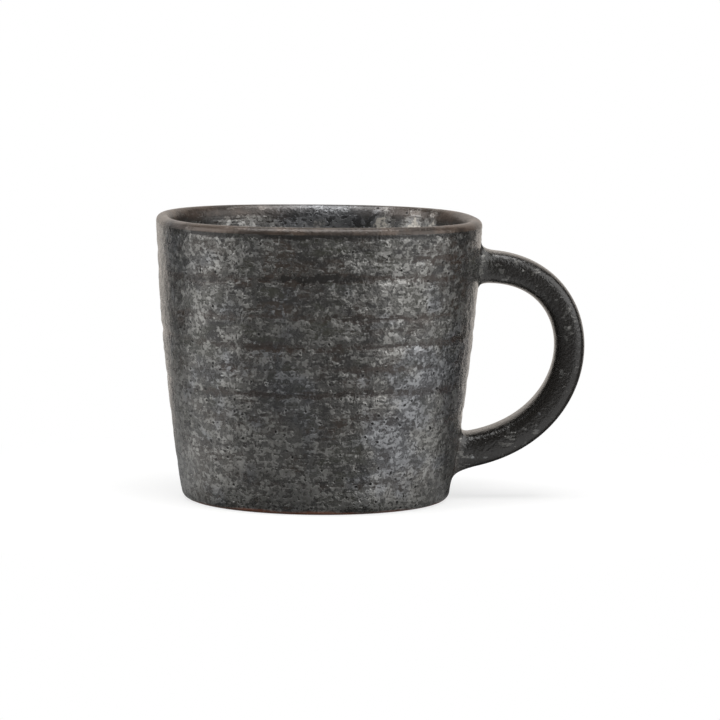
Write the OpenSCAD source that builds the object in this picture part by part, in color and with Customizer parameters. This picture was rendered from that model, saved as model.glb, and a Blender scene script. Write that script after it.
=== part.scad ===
// Espresso cup: a thrown stoneware cup with a softly squared rim and one pulled strap handle.
// It is one fired piece. The origin is on the cup's axis at the table, +Z is up, and the
// handle points to +X. All sizes are in millimetres.

/* [Bowl] */
// Height from the table to the top of the rim
cup_h = 57.5; // [50:0.5:70]
// Width across the rim, from one flattened side to the other
rim_w = 65; // [58:0.5:76]
// Width across the foot, measured before its edge is rounded
foot_w = 54; // [46:0.5:60]
// Swell of the wall past a straight taper, at mid height
belly = 1; // [0:0.1:2.5]
// Outline of the rim seen from above: 2 is a circle, more is squarer
rim_power = 2.6; // [2:0.1:3.4]
// Turn of the squared outline round the axis, against the handle
rim_turn = 4; // [-12:0.5:12]
// Thickness of the wall just under the rim
lip_t = 2.8; // [2:0.1:4]
// Thickness of the wall where it meets the floor
wall_t = 3.6; // [2.5:0.1:5]
// Thickness of the floor above the recess
floor_t = 4; // [3:0.1:6]
// Radius of the bend between the floor and the wall, inside
floor_round = 9; // [4:0.5:14]

/* [Rim] */
// Height of the rounded top of the lip
lip_round = 1.3; // [0.8:0.1:1.8]
// Height of the bead and its groove, measured down from the top of the rim
bead_h = 2.6; // [2.2:0.1:3.2]
// Depth of the groove under the bead
bead_groove = 0.2; // [0:0.05:0.5]

/* [Throwing rings] */
// Depth of the deepest ring that the fingers left in the wall
ring_depth = 0.25; // [0:0.05:0.5]
// Distance over which a ring fades out, above and below its middle
ring_spread = 0.9; // [0.6:0.1:1.5]

/* [Foot] */
// Radius of the foot's outer edge
foot_round = 1.4; // [0.8:0.1:2.5]
// Width of the flat ring that the cup stands on
foot_ring_w = 4; // [2.5:0.1:8]
// Depth of the recess inside the ring
foot_recess = 1.5; // [0.8:0.1:2.5]
// Radius of the recess's inner bend
recess_round = 0.7; // [0.3:0.1:0.8]

/* [Handle] */
// Reach from the cup's axis to the strap's outermost face
handle_reach = 54.4; // [49:0.1:66]
// Depth of the upper root's middle below the top of the rim
upper_root_drop = 10.3; // [9.5:0.1:15]
// Height of the lower root's middle above the table
lower_root_h = 9.5; // [8.5:0.1:14]
// How far the upper arm lifts as it leaves its root
upper_lift = 1.9; // [0:0.1:4]
// How far the lower arm lies above its root before it turns in
lower_lift = 3.1; // [0:0.1:6]
// Width of the strap
strap_w = 9.2; // [7:0.1:15]
// Thickness of the strap at the upper root
upper_strap_t = 6.3; // [4.8:0.1:8]
// Thickness of the strap halfway round
bend_strap_t = 5.5; // [4.8:0.1:7.5]
// Thickness of the strap at the lower root
lower_strap_t = 6.4; // [4.8:0.1:8]
// Radius of the strap's four long edges
strap_round = 2; // [1:0.1:2.3]
// Crown of the strap's faces
strap_crown = 0.2; // [0:0.05:0.4]

/* [Handle roots] */
// Spread of the clay up the wall above the upper root
upper_spread_top = 3.6; // [1:0.1:4]
// Spread of the clay down the wall under the upper root
upper_spread_under = 1.2; // [0.6:0.1:3]
// Spread of the clay up the wall above the lower root
lower_spread_top = 3.2; // [0.6:0.1:4]
// Spread of the clay down the wall under the lower root
lower_spread_under = 2.2; // [1:0.1:2.8]
// Spread of the clay round the wall past the strap's sides
root_spread_side = 1.1; // [0.6:0.1:2.5]
// Distance along the strap over which the spread fades out
root_length = 4.2; // [1.6:0.1:5]

/* [Hidden] */

GLAZE_COLOUR = "#45413d";

// Finger rings up the wall: share of the wall's height, and share of ring_depth.
FINGER_RINGS = [
    [0.10, 0.5], [0.14, 0.4], [0.24, 0.6], [0.31, 0.6], [0.44, 0.9], [0.52, 0.6],
    [0.61, 1.0], [0.655, 0.5], [0.71, 0.7], [0.835, 0.9], [0.90, 0.6]
];

// How finely the surface is divided. A root takes ROOT_COLS by ROOT_ROWS cells of the wall.
COLUMNS = 56;
ROOT_COLS = 8;
ROOT_ROWS = 8;
FOOT_ROWS = 4;
LOW_ROWS = 2;
MID_ROWS = 24;
NECK_ROWS = 2;
BEAD_ROWS = 4;
LIP_ROWS = 6;
INNER_ROWS = 9;
BEND_ROWS = 5;
FLOOR_ROWS = 2;
STRAP_RINGS = 30;
BLEND_RINGS = 5;
EDGE_STEPS = 2;
RECESS_FN = 96;
OVERCUT = 1;

// Heights that the rows of the surface meet.
floor_z = foot_recess + floor_t;
lip_z = cup_h - lip_round;
bead_z = cup_h - bead_h;
upper_root_z = cup_h - upper_root_drop;
lower_root_z = lower_root_h;
upper_low_z = upper_root_z - upper_strap_t / 2 - upper_spread_under;
upper_high_z = upper_root_z + upper_strap_t / 2 + upper_spread_top;
lower_low_z = lower_root_z - lower_strap_t / 2 - lower_spread_under;
lower_high_z = lower_root_z + lower_strap_t / 2 + lower_spread_top;
root_half_w = strap_w / 2 + root_spread_side;

// Rows at which the two roots start, and the count of points round a root and a strap ring.
LOWER_ROW = FOOT_ROWS + LOW_ROWS;
UPPER_ROW = LOWER_ROW + ROOT_ROWS + MID_ROWS;
LOOP = 2 * (ROOT_COLS + ROOT_ROWS);

function mix(a, b, t) = a + (b - a) * t;
function bell(x) = exp(-x * x);
function sum(list, i = 0) = i < len(list) ? list[i] + sum(list, i + 1) : 0;

// n values from a towards b, without b itself.
function steps(a, b, n) = [for (i = [0:n - 1]) mix(a, b, i / n)];

// Half-width of the wall's outside, without rings: a straight taper plus a parabola.
function outer_half(z) =
    let (t = z / lip_z)
    mix(foot_w / 2, rim_w / 2, t) + 4 * belly * t * (1 - t);

// Depth that the finger rings and the bead's groove take off the outside at a height.
function ring_cut(z) =
    let (
        rings = [for (r = FINGER_RINGS) r[1] * bell((z - r[0] * lip_z) / ring_spread)],
        groove_z = mix(bead_z, lip_z, 0.5),
        groove_spread = (lip_z - bead_z) / 3
    )
    ring_depth * sum(rings) + bead_groove * bell((z - groove_z) / groove_spread);

// Half-width of the inside: the outside less the wall, which thins towards the lip.
function inner_half(z) =
    outer_half(z) - mix(wall_t, lip_t, (z - floor_z) / (lip_z - floor_z));

// The outline turns from a circle at the foot to the squared rim.
function outline_power(z) = mix(2, rim_power, max(0, min(1, z / lip_z)));

// A superellipse in polar form, half as wide as half on each of its axes.
function outline_radius(half, power, angle) =
    let (a = angle - rim_turn)
    half * pow(pow(abs(cos(a)), power) + pow(abs(sin(a)), power), -1 / power);

// Half the angle that a root takes up on the wall, at a height.
function root_angle(z) = atan2(root_half_w, outer_half(z));

// Angle of a column: the first ROOT_COLS cells span the roots, the others the rest.
function column_angle(col, span) =
    col <= ROOT_COLS
    ? mix(-span, span, col / ROOT_COLS)
    : mix(span, 360 - span, (col - ROOT_COLS) / (COLUMNS - ROOT_COLS));

// A row of the surface is [half-width, height, outline power, root angle].
function row_point(row, col) =
    let (
        angle = column_angle(col, row[3]),
        radius = outline_radius(row[0], row[2], angle)
    )
    [radius * cos(angle), radius * sin(angle), row[1]];

function outer_row(z, inset = 0) =
    [outer_half(z) - inset, z, outline_power(z), root_angle(z)];
function inner_row(z, inset = 0) =
    [inner_half(z) - inset, z, outline_power(z), root_angle(lip_z)];

// The foot's edge is a quarter round.
foot_rows = [
    for (a = steps(0, 90, FOOT_ROWS))
        outer_row(foot_round * (1 - cos(a)), foot_round * (1 - sin(a)))
];

wall_z = concat(
    steps(foot_round, lower_low_z, LOW_ROWS),
    steps(lower_low_z, lower_high_z, ROOT_ROWS),
    steps(lower_high_z, upper_low_z, MID_ROWS),
    steps(upper_low_z, upper_high_z, ROOT_ROWS),
    steps(upper_high_z, bead_z, NECK_ROWS),
    steps(bead_z, lip_z, BEAD_ROWS)
);
wall_rows = [for (z = wall_z) outer_row(z, ring_cut(z))];

// The lip is half an ellipse, from the outside over the top to the inside.
lip_rows = [
    for (a = steps(0, 180, LIP_ROWS))
        [
            outer_half(lip_z) - lip_t / 2 * (1 - cos(a)),
            lip_z + lip_round * sin(a),
            outline_power(lip_z),
            root_angle(lip_z)
        ]
];

inner_rows = [for (z = steps(lip_z, floor_z + floor_round, INNER_ROWS)) inner_row(z)];

// The bend to the floor is a quarter round, and the floor shrinks to its middle.
bend_rows = [
    for (a = steps(0, 90, BEND_ROWS))
        inner_row(floor_z + floor_round * (1 - sin(a)), floor_round * (1 - cos(a)))
];
floor_rows = [
    for (share = steps(1, 0, FLOOR_ROWS))
        let (edge = inner_row(floor_z, floor_round))
        [edge[0] * share, edge[1], edge[2], edge[3]]
];

rows = concat(foot_rows, wall_rows, lip_rows, inner_rows, bend_rows, floor_rows);

// The strap's middle line: a cubic curve in the XZ plane from the upper to the lower root.
upper_root = [outer_half(upper_root_z), upper_root_z];
lower_root = [outer_half(lower_root_z), lower_root_z];
middle_reach = handle_reach - bend_strap_t / 2 - strap_crown;
pull_x = (8 * middle_reach - upper_root[0] - lower_root[0]) / 6;
middle_line = [
    upper_root,
    [pull_x, upper_root[1] + upper_lift],
    [pull_x, lower_root[1] + lower_lift],
    lower_root
];

function curve_point(p, t) =
    pow(1 - t, 3) * p[0] + 3 * pow(1 - t, 2) * t * p[1]
    + 3 * (1 - t) * t * t * p[2] + pow(t, 3) * p[3];

function curve_direction(p, t) =
    let (
        d = pow(1 - t, 2) * (p[1] - p[0]) + 2 * (1 - t) * t * (p[2] - p[1])
            + t * t * (p[3] - p[2])
    )
    d / norm(d);

// Thickness round the strap: a parabola through its three stated values.
function strap_t(t) =
    let (control = 2 * bend_strap_t - (upper_strap_t + lower_strap_t) / 2)
    pow(1 - t, 2) * upper_strap_t + 2 * (1 - t) * t * control + t * t * lower_strap_t;

// One side of the rounded section, from the middle of one edge to the middle of the next,
// as [distance along the side, distance out].
function side_point(i, n, half, out) =
    let (
        flat = half - strap_round,
        along = 2 * (i - EDGE_STEPS) / (n - 2 * EDGE_STEPS) - 1,
        turn = i < EDGE_STEPS
            ? 135 - 45 * i / EDGE_STEPS
            : 90 - 45 * (i - n + EDGE_STEPS) / EDGE_STEPS,
        edge_x = i < EDGE_STEPS ? -flat : flat
    )
    i < EDGE_STEPS || i > n - EDGE_STEPS
    ? [edge_x + strap_round * cos(turn), out - strap_round + strap_round * sin(turn)]
    : [along * flat, out + strap_crown * (1 - along * along)];

// Point k of the strap's section as [across, outward], anticlockwise seen along the strap.
function section_point(k, half_w, half_t) =
    let (
        c = ROOT_COLS,
        r = ROOT_ROWS,
        inner = side_point(k, c, half_w, half_t),
        right = side_point(k - c, r, half_t, half_w),
        outer = side_point(k - c - r, c, half_w, half_t),
        left = side_point(k - 2 * c - r, r, half_t, half_w)
    )
    k < c ? [inner[0], -inner[1]]
    : k < c + r ? [right[1], right[0]]
    : k < 2 * c + r ? [-outer[0], outer[1]]
    : [-left[1], -left[0]];

// Point k of the strap's ring at a share t of the middle line.
function strap_point(k, t) =
    let (
        middle = curve_point(middle_line, t),
        along = curve_direction(middle_line, t),
        s = section_point(k, strap_w / 2, strap_t(t) / 2)
    )
    [middle[0] - along[1] * s[1], s[0], middle[1] + along[0] * s[1]];

// The wall's outside face near the handle, at a place across the cup and a height.
function wall_x(y, z) =
    let (
        half = outer_half(z),
        radius = outline_radius(half, outline_power(z), atan2(y, half))
    )
    sqrt(radius * radius - y * y);

// Follows the strap's own direction from a ring point back to the wall.
function back_to_wall(point, along) =
    let (
        first = (point[0] - wall_x(point[1], point[2])) / along[0],
        z = point[2] - first * along[1],
        second = (point[0] - wall_x(point[1], z)) / along[0]
    )
    [point[0] - second * along[0], point[1], point[2] - second * along[1]];

// Row and column of point k round a root, from the strap's inner left corner. The strap
// comes back upside down, so the lower root is counted from its top row.
function loop_place(k, first_row, last_row) =
    let (
        c = ROOT_COLS,
        r = ROOT_ROWS,
        step = first_row < last_row ? 1 : -1
    )
    k < c ? [first_row, k]
    : k < c + r ? [first_row + step * (k - c), c]
    : k < 2 * c + r ? [last_row, 2 * c + r - k]
    : [last_row - step * (k - 2 * c - r), 0];

function upper_place(k) = loop_place(k, UPPER_ROW, UPPER_ROW + ROOT_ROWS);
function lower_place(k) = loop_place(k, LOWER_ROW + ROOT_ROWS, LOWER_ROW);

// A root's clay follows a quadratic curve that leaves along the wall and ends along the strap.
function blend_point(on_wall, corner, on_strap, q) =
    pow(1 - q, 2) * on_wall + 2 * (1 - q) * q * corner + q * q * on_strap;

upper_t = root_length / (3 * norm(middle_line[1] - middle_line[0]));
lower_t = 1 - root_length / (3 * norm(middle_line[3] - middle_line[2]));

function root_point(k, place, t, q) =
    let (
        on_strap = strap_point(k, t),
        corner = back_to_wall(on_strap, curve_direction(middle_line, t))
    )
    blend_point(row_point(rows[place[0]], place[1]), corner, on_strap, q);

upper_rings = [
    for (i = [1:BLEND_RINGS - 1], k = [0:LOOP - 1])
        root_point(k, upper_place(k), upper_t, i / BLEND_RINGS)
];
strap_rings = [
    for (i = [0:STRAP_RINGS], k = [0:LOOP - 1])
        strap_point(k, mix(upper_t, lower_t, i / STRAP_RINGS))
];
lower_rings = [
    for (i = [BLEND_RINGS - 1:-1:1], k = [0:LOOP - 1])
        root_point(k, lower_place(k), lower_t, i / BLEND_RINGS)
];

// All points: the rows, the handle's rings, the foot's middle and the floor's middle.
row_points = [for (row = rows, col = [0:COLUMNS - 1]) row_point(row, col)];
ring_points = concat(upper_rings, strap_rings, lower_rings);
RINGS = len(ring_points) / LOOP;
FIRST_RING = len(row_points);
FOOT_MIDDLE = FIRST_RING + len(ring_points);
FLOOR_MIDDLE = FOOT_MIDDLE + 1;

function grid_index(place) = place[0] * COLUMNS + place[1] % COLUMNS;

// Index of point k in ring i of the handle, where the first and last rings lie on the wall.
function ring_index(i, k) =
    i == 0 ? grid_index(upper_place(k % LOOP))
    : i == RINGS + 1 ? grid_index(lower_place(k % LOOP))
    : FIRST_RING + (i - 1) * LOOP + k % LOOP;

function in_root(row, col) =
    col < ROOT_COLS && (
        (row >= LOWER_ROW && row < LOWER_ROW + ROOT_ROWS)
        || (row >= UPPER_ROW && row < UPPER_ROW + ROOT_ROWS)
    );

// Two triangles for a cell with corners a, b, c, d, clockwise seen from outside.
function cell(a, b, c, d) = [[a, b, c], [a, c, d]];

bowl_faces = [
    for (row = [0:len(rows) - 2], col = [0:COLUMNS - 1])
        if (!in_root(row, col))
            each cell(
                grid_index([row, col]), grid_index([row + 1, col]),
                grid_index([row + 1, col + 1]), grid_index([row, col + 1])
            )
];
handle_faces = [
    for (i = [0:RINGS], k = [0:LOOP - 1])
        each cell(
            ring_index(i, k), ring_index(i + 1, k),
            ring_index(i + 1, k + 1), ring_index(i, k + 1)
        )
];
foot_faces = [
    for (col = [0:COLUMNS - 1])
        [FOOT_MIDDLE, grid_index([0, col]), grid_index([0, col + 1])]
];
floor_faces = [
    for (col = [0:COLUMNS - 1])
        let (last = len(rows) - 1)
        [FLOOR_MIDDLE, grid_index([last, col + 1]), grid_index([last, col])]
];

// The cup as thrown, with its handle on, and a flat foot.
module thrown_cup() {
    polyhedron(
        points = concat(row_points, ring_points, [[0, 0, 0], [0, 0, floor_z]]),
        faces = concat(bowl_faces, handle_faces, foot_faces, floor_faces),
        convexity = 8
    );
}

// What the turning tool takes out of the foot.
module foot_hollow() {
    recess_r = foot_w / 2 - foot_round - foot_ring_w;
    rotate_extrude($fn = RECESS_FN)
        union() {
            translate([0, -OVERCUT])
                square([recess_r, OVERCUT + foot_recess - recess_round]);
            square([recess_r - recess_round, foot_recess]);
            translate([recess_r - recess_round, foot_recess - recess_round])
                circle(r = recess_round, $fn = RECESS_FN);
        }
}

module cup() {
    color(GLAZE_COLOUR)
        difference() {
            thrown_cup();
            foot_hollow();
        }
}

cup();
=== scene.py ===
# %% [markdown]
# # A thrown stoneware espresso cup
# This lesson dresses a measured cup. The measured model gives the box that the cup fills, and
# we build the glazed surface again on a much finer grid, so that finger rings, the rolled lip
# and the pulled handle catch the light as real clay does. Then we mix the glaze and light it.

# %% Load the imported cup
import math

import bpy
import numpy as np
from mathutils import Matrix, Vector


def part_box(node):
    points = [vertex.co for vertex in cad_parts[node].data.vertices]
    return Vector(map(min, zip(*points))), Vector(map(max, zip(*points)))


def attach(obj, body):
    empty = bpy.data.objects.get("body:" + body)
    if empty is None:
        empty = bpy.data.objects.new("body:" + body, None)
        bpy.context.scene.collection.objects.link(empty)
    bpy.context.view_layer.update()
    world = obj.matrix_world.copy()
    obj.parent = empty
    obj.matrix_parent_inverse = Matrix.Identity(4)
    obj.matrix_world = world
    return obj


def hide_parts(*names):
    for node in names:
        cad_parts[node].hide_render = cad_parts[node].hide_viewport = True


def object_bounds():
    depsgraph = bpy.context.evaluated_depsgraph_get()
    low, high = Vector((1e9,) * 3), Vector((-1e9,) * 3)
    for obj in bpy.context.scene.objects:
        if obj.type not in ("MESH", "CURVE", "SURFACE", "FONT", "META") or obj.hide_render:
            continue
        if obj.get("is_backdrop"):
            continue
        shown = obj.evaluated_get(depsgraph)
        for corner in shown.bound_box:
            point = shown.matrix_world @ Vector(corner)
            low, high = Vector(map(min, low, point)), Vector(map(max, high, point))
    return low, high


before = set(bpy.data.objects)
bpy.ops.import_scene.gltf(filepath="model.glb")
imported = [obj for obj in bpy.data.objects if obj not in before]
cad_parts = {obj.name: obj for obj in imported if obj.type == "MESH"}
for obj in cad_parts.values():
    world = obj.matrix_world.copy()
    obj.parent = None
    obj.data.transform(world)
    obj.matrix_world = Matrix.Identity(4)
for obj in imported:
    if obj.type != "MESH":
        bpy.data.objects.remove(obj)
cad_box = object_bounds()
low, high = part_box("cup")
print("measured cup, in metres:", [round(v, 4) for v in (*low, *high)])

# %% [markdown]
# ## Sizes
# A potter thinks in a few sizes: height, rim, foot, wall, and how far the handle reaches. The
# overall ones come from the measured cup. The others are written once, in millimetres times
# MM, because Blender works in metres.

# %% Sizes of the bowl, the lip and the foot
MM = 0.001
CUP_H = high[2]
HANDLE_REACH = high[0]
RIM_HALF = 32.5 * MM
FOOT_HALF = 27 * MM
BELLY = 1 * MM
RIM_POWER = 2.6
RIM_TURN = math.radians(4)
LIP_T = 2.8 * MM
LIP_ROUND = 1.3 * MM
LIP_INNER_DROP = 0.9 * MM
WALL_T = 3.6 * MM
FOOT_ROUND = 1.4 * MM
FOOT_RING_W = 4 * MM
FOOT_RECESS = 1.5 * MM
RECESS_ROUND = 0.7 * MM
FLOOR_Z = FOOT_RECESS + 4 * MM
FLOOR_ROUND = 9 * MM
BEAD_H = 2.6 * MM
LIP_Z = CUP_H - LIP_ROUND
BEAD_Z = CUP_H - BEAD_H
print("lip turns over at", round(LIP_Z / MM, 1), "mm, floor lies at", round(FLOOR_Z / MM, 1), "mm")

# %% Sizes of the handle
UPPER_ROOT_Z = CUP_H - 10.3 * MM
LOWER_ROOT_Z = 9.5 * MM
UPPER_LIFT = 1.9 * MM
LOWER_LIFT = 3.1 * MM
STRAP_HALF_W = 4.8 * MM
STRAP_T = (6.3 * MM, 5.6 * MM, 6.8 * MM)
STRAP_TWIST = math.radians(6)
BEND_FULLNESS = 0.2 * MM
STRAP_CROWN = 0.2 * MM
OUTER_POWER = 3.7
INNER_POWER = 3.2
UPPER_SPREAD_TOP = 3.6 * MM
UPPER_SPREAD_UNDER = 1.6 * MM
LOWER_SPREAD_TOP = 3.2 * MM
LOWER_SPREAD_UNDER = 2.2 * MM
SPREAD_SIDE = 1.1 * MM
ROOT_LENGTH = 4.2 * MM
ROOT_HALF_W = STRAP_HALF_W - STRAP_CROWN + SPREAD_SIDE
print("roots at", round(UPPER_ROOT_Z / MM, 1), "and", round(LOWER_ROOT_Z / MM, 1), "mm")

# %% How finely the surface is divided
COLUMNS = 400
ROOT_COLS = 24
ROOT_ROWS = 18
STRAP_RINGS = 130
BLEND_RINGS = 8
LOOP = 2 * (ROOT_COLS + ROOT_ROWS)

# %% [markdown]
# ## The thrown wall
# On the wheel the wall is a profile turned about the axis. Here the turning is done by numbers:
# a height gives a half-width, and an angle gives the place round the cup. The rim was pressed
# from a circle towards a square while the clay was soft, so the outline is a superellipse whose
# power grows from 2 at the foot to 2.6 at the rim. Everything is computed on whole arrays.


# %% Profile of the wall
def mix(a, b, t):
    """A straight blend from a to b."""
    return a + (b - a) * t


def smooth(low_edge, high_edge, x):
    """0 below the low edge, 1 above the high edge, and 3t^2 - 2t^3 between them."""
    t = np.clip((x - low_edge) / (high_edge - low_edge), 0, 1)
    return t * t * (3 - 2 * t)


def bell(x):
    """A bell curve that is 1 at 0: e to the minus x squared."""
    return np.exp(-x * x)


def outer_half(z):
    """Half-width outside: a straight taper from foot to rim plus a parabola for the belly."""
    t = z / LIP_Z
    return mix(FOOT_HALF, RIM_HALF, t) + 4 * BELLY * t * (1 - t)


def inner_half(z):
    """Half-width inside: the outside less the wall, which thins from the floor to the lip."""
    return outer_half(z) - mix(WALL_T, LIP_T, (z - FLOOR_Z) / (LIP_Z - FLOOR_Z))


def outline_power(z):
    """Power of the outline: 2, a circle, at the foot, growing evenly to RIM_POWER at the rim."""
    return mix(2.0, RIM_POWER, np.clip(z / LIP_Z, 0, 1))


def outline_radius(half, power, angle):
    """Superellipse in polar form, turned by RIM_TURN: half / (|cos|^p + |sin|^p)^(1/p)."""
    a = angle - RIM_TURN
    return half * (np.abs(np.cos(a)) ** power + np.abs(np.sin(a)) ** power) ** (-1 / power)


def root_angle(z):
    """Half the angle that a handle root takes up on the wall at a height."""
    return np.arctan2(ROOT_HALF_W, outer_half(z))


print("half-width at mid height:", round(float(outer_half(CUP_H / 2)) / MM, 2), "mm")

# %% [markdown]
# ## Finger rings
# Fingers leave a spiral of shallow rings in a thrown wall. Each ring is a bell-shaped groove
# whose height and depth drift a little on the way round. Between them lie many finer lines, and
# the whole wall wanders by a tenth of a millimetre, which is what stops a highlight from
# looking machined. They are real displacement here, because they show in the outline.

# %% Rings and unevenness of the wall
RING_DEPTH = 0.25 * MM
RING_SPREAD = 0.9 * MM
SLOW_DRIFT = 0.45 * MM
QUICK_DRIFT = 0.18 * MM
BEAD_GROOVE = 0.02 * MM
FINE_PITCH = 1.35 * MM
FINE_DEPTH = 0.022 * MM
WANDER = 0.09 * MM
PEBBLE = 1.3 * MM
PEBBLE_DEPTH = 0.05 * MM
# Share of the wall's height, and share of the depth, of each finger ring.
FINGER_RINGS = np.array([
    (0.10, 0.5), (0.14, 0.4), (0.24, 0.6), (0.31, 0.6), (0.44, 0.9), (0.52, 0.6),
    (0.61, 1.0), (0.655, 0.5), (0.71, 0.7), (0.835, 0.9), (0.90, 0.6),
])
RING_SEED, OUTSIDE_SEED, INSIDE_SEED, PEBBLE_SEED, STRAY_SEED = 7, 3, 5, 11, 17
WAVE_MM = (14, 40)


def ring_groove(z, angle):
    """Sum over the rings of strength(angle) times a bell about the ring's drifting height."""
    rng = np.random.default_rng(RING_SEED)
    total = np.zeros(np.broadcast(z, angle).shape)
    for share, strength in FINGER_RINGS:
        phase = rng.uniform(0, 2 * math.pi, 4)
        height = share * LIP_Z + SLOW_DRIFT * np.sin(angle + phase[0])
        height = height + QUICK_DRIFT * np.sin(3 * angle + phase[1])
        fade = 0.72 + 0.2 * np.sin(2 * angle + phase[2]) + 0.12 * np.sin(5 * angle + phase[3])
        total = total + strength * fade * bell((z - height) / RING_SPREAD)
    return total


def wander(z, angle, seed, amount):
    """Slow unevenness: six waves round the cup, each with its own slow wave up the wall."""
    rng = np.random.default_rng(seed)
    total = np.zeros(np.broadcast(z, angle).shape)
    for turns in (1, 2, 3, 5, 7, 11):
        phase = rng.uniform(0, 2 * math.pi, 2)
        length = rng.uniform(*WAVE_MM) * MM
        wave = np.cos(turns * angle + phase[0]) * np.cos(2 * math.pi * z / length + phase[1])
        total = total + wave / turns ** 0.5
    return amount * total / 2


def fine_lines(z, angle):
    """Fine turning lines: a wave up the wall whose depth comes and goes round the cup."""
    drift = 0.5 * np.sin(2 * angle + 1.0) + 0.3 * np.sin(5 * angle + 4.0)
    wave = np.sin(2 * math.pi * z / FINE_PITCH + drift + 2.2 * np.sin(z / (3.1 * MM)))
    strength = 0.5 + 0.5 * np.sin(3 * angle + z / (6 * MM))
    return FINE_DEPTH * wave * strength


def pebbles(z, angle, seed):
    """Random heights on a grid of PEBBLE-sized cells, joined by smooth steps both ways."""
    around = round(2 * math.pi * RIM_HALF / PEBBLE)
    heights = np.random.default_rng(seed).uniform(-1, 1, (math.ceil(CUP_H / PEBBLE) + 2, around))
    row, row_share = np.divmod(np.clip(z, 0, CUP_H) / PEBBLE, 1)
    col, col_share = np.divmod(angle / (2 * math.pi) * around, 1)
    row, col = row.astype(int), col.astype(int) % around
    after = (col + 1) % around
    row_share, col_share = smooth(0, 1, row_share), smooth(0, 1, col_share)
    below = mix(heights[row, col], heights[row, after], col_share)
    above = mix(heights[row + 1, col], heights[row + 1, after], col_share)
    return mix(below, above, row_share)


def wall_relief(z, angle):
    """How far the outside stands proud of its plain profile, in metres."""
    bead_middle = mix(BEAD_Z, LIP_Z, 0.5)
    bead_spread = (LIP_Z - BEAD_Z) / 3
    groove = BEAD_GROOVE * bell((z - bead_middle) / bead_spread)
    calm = smooth(CUP_H, BEAD_Z, z) * smooth(0, 3 * MM, z)
    cut = RING_DEPTH * ring_groove(z, angle) + groove
    rough = PEBBLE_DEPTH * pebbles(z, angle, PEBBLE_SEED)
    return calm * (wander(z, angle, OUTSIDE_SEED, WANDER) + fine_lines(z, angle) + rough) - cut


print("finger rings:", len(FINGER_RINGS), "with fine lines every", FINE_PITCH / MM, "mm")

# %% [markdown]
# ## Rows from the foot to the floor inside
# The whole bowl is one sheet of rows: from the middle of the underside out over the foot ring,
# up the wall, over the lip, down inside and in to the middle of the floor. Each row has a
# half-width, a height, an outline power, and the angle of the handle root at that height. A
# quarter round is a few rows whose angle steps from 0 to 90 degrees. The lip is two quarters, and
# the inner one rolls down a little further than the outer one.


# %% Rows of the sheet
def steps(a, b, n):
    """n even values from a towards b, leaving out b itself."""
    return mix(a, b, np.arange(n) / n)


def section(half, z, kind, n):
    """n rows of one stretch: half-widths, heights and a mark that says which stretch it is."""
    rows = np.zeros((n, 3))
    rows[:, 0] = half
    rows[:, 1] = z
    rows[:, 2] = kind
    return rows


UNDER, OUTSIDE, LIP, INSIDE = 0, 1, 2, 3
LIP_ROWS, INNER_ROWS, BEND_ROWS = 16, 34, 12
recess_half = FOOT_HALF - FOOT_ROUND - FOOT_RING_W
RING_EDGE = 0.35 * MM
POLE_HALF = 0.6 * MM
quarter = np.radians(steps(0, 90, 6))
half_turn = np.radians(steps(0, 180, LIP_ROWS))
lip_drop = np.where(half_turn > math.pi / 2, LIP_ROUND + LIP_INNER_DROP, LIP_ROUND)
lip_width = float(outer_half(LIP_Z) - inner_half(LIP_Z - LIP_INNER_DROP))
bend = np.radians(steps(0, 90, BEND_ROWS))

upper_band = (
    UPPER_ROOT_Z - STRAP_T[0] / 2 - UPPER_SPREAD_UNDER,
    UPPER_ROOT_Z + STRAP_T[0] / 2 + UPPER_SPREAD_TOP,
)
lower_band = (
    LOWER_ROOT_Z - STRAP_T[2] / 2 - LOWER_SPREAD_UNDER,
    LOWER_ROOT_Z + STRAP_T[2] / 2 + LOWER_SPREAD_TOP,
)
LOW_ROWS, MID_ROWS, NECK_ROWS, BEAD_ROWS = 5, 62, 6, 8
wall_z = np.concatenate([
    steps(FOOT_ROUND, lower_band[0], LOW_ROWS),
    steps(*lower_band, ROOT_ROWS),
    steps(lower_band[1], upper_band[0], MID_ROWS),
    steps(*upper_band, ROOT_ROWS),
    steps(upper_band[1], BEAD_Z, NECK_ROWS),
    steps(BEAD_Z, LIP_Z, BEAD_ROWS),
])
foot_z = FOOT_ROUND * (1 - np.cos(quarter))
inner_z = steps(LIP_Z - LIP_INNER_DROP, FLOOR_Z + FLOOR_ROUND, INNER_ROWS)
bend_z = FLOOR_Z + FLOOR_ROUND * (1 - np.sin(bend))
floor_edge = float(inner_half(FLOOR_Z)) - FLOOR_ROUND

parts = [
    section(steps(POLE_HALF, recess_half - RECESS_ROUND, 6), FOOT_RECESS, UNDER, 6),
    section(
        recess_half - RECESS_ROUND * (1 - np.sin(quarter)),
        FOOT_RECESS - RECESS_ROUND * (1 - np.cos(quarter)),
        UNDER, 6,
    ),
    section(
        recess_half + RING_EDGE * (1 - np.cos(quarter)),
        RING_EDGE * (1 - np.sin(quarter)),
        UNDER, 6,
    ),
    section(steps(recess_half + RING_EDGE, FOOT_HALF - FOOT_ROUND, 5), 0, UNDER, 5),
    section(outer_half(foot_z) - FOOT_ROUND * (1 - np.sin(quarter)), foot_z, OUTSIDE, 6),
    section(outer_half(wall_z), wall_z, OUTSIDE, len(wall_z)),
    section(
        outer_half(LIP_Z) - lip_width / 2 * (1 - np.cos(half_turn)),
        CUP_H - lip_drop * (1 - np.sin(half_turn)),
        LIP, LIP_ROWS,
    ),
    section(inner_half(inner_z), inner_z, INSIDE, INNER_ROWS),
    section(inner_half(bend_z) - FLOOR_ROUND * (1 - np.cos(bend)), bend_z, INSIDE, BEND_ROWS),
    section(steps(floor_edge, POLE_HALF, 8), FLOOR_Z, INSIDE, 8),
]
rows = np.concatenate(parts)
FIRST_WALL_ROW = sum(len(p) for p in parts[:5])
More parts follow.
